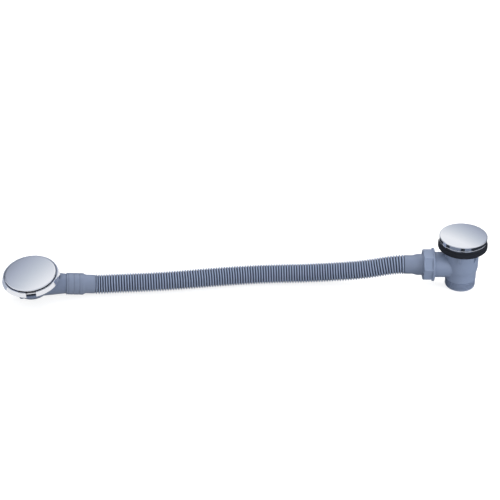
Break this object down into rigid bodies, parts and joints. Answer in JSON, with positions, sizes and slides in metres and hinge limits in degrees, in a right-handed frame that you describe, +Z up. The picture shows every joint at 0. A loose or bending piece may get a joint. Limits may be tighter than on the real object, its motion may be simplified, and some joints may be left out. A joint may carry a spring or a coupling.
{
  "type": "bath waste and overflow",
  "caption": "Press-plug bath waste with a threaded outlet, joined by a corrugated hose to an overflow elbow with a round chromed cover.",
  "frame": {"origin": "centre of the outlet's bottom face, on the waste's axis", "axes": "+Z up along the waste's axis towards the plug, -X along the side inlet and the hose towards the overflow"},
  "size_m": [0.7607, 0.1242, 0.0922],
  "materials": {
    "plastic": "semi-gloss moulded",
    "hose": "semi-gloss blow-moulded",
    "rubber": "matt",
    "chrome": "polished",
    "brass": "turned",
    "steel": "plain"
  },
  "bodies": {
    "waste": {"waste_body": "plastic", "bath_washer": "rubber", "flange_gasket": "rubber", "waste_flange": "chrome", "cartridge_body": "brass", "cartridge_cap": "brass", "cartridge_spring": "steel", "inlet_nut": "plastic", "inlet_washer": "rubber", "overflow_hose": "hose", "elbow_seal": "rubber", "overflow_elbow": "plastic", "overflow_gasket": "rubber", "overflow_ring": "chrome", "ring_screws": "steel", "overflow_disc": "chrome"},
    "plug": {"plug_cap": "chrome", "plug_seal": "rubber", "plug_stem": "brass", "stem_nut": "brass"}
  },
  "joints": [
    {"name": "plug_slide", "type": "slide", "parent": "waste", "child": "plug", "axis": [0, 0, 1], "range_m": [0, 0.009], "deforming": ["cartridge_spring"]}
  ]
}
